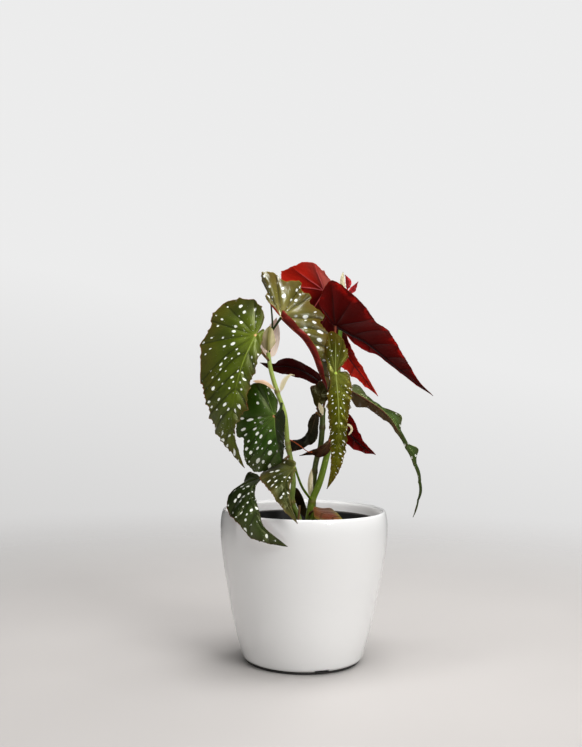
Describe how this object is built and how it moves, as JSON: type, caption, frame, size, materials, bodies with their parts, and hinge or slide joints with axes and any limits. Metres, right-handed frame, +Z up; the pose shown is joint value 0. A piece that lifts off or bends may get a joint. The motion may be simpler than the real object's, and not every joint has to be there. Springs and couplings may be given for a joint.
{
  "type": "potted begonia",
  "caption": "Spotted cane begonia with angel-wing leaves, red undersides and papery stipules, growing in a round glossy white planter with an inner liner.",
  "frame": {"origin": "centre of the planter's flat underside", "axes": "+Z up through the middle of the planter; the side seen in the picture faces -Y, and +X is to the right of that view"},
  "size_m": [0.3034, 0.2215, 0.5039],
  "materials": {
    "planter_white": "gloss",
    "liner_grey": "satin",
    "foot_dark": "matte",
    "soil_brown": "matte",
    "cane_green": "satin",
    "cane_brown": "satin",
    "leaf_olive": "gloss",
    "leaf_dark": "gloss",
    "leaf_crimson": "satin",
    "leaf_maroon": "satin",
    "stipule_cream": "matte"
  },
  "bodies": {
    "root": {"planter_shell": "planter_white", "planter_liner": "liner_grey", "planter_foot": "foot_dark", "soil": "soil_brown", "cane_left": "cane_green", "cane_right": "cane_green", "cane_thin": "cane_brown", "stub_stalk": "cane_brown", "leaf_left": "leaf_olive", "leaf_top": "leaf_olive", "leaf_back": "leaf_crimson", "leaf_right": "leaf_crimson", "leaf_centre": "leaf_olive", "leaf_low_left": "leaf_dark", "leaf_rim_left": "leaf_dark", "leaf_rim_front": "leaf_dark", "leaf_dark_high": "leaf_maroon", "leaf_small_dark": "leaf_maroon", "leaf_twisted": "leaf_maroon", "leaf_crossing": "leaf_maroon", "leaf_red_low": "leaf_crimson", "leaf_drooping": "leaf_dark", "leaf_pot_right": "leaf_maroon", "leaf_pot_back": "leaf_maroon", "stipule_tip_front": "stipule_cream", "stipule_tip_back": "stipule_cream", "stipule_low_left": "stipule_cream", "stipule_low_right": "stipule_cream", "stipule_foot": "stipule_cream", "stipule_curled": "stipule_cream", "stipule_small": "stipule_cream", "stipule_shoot": "stipule_cream", "young_leaf_upright": "leaf_crimson", "young_leaf_side": "leaf_crimson"}
  },
  "joints": []
}
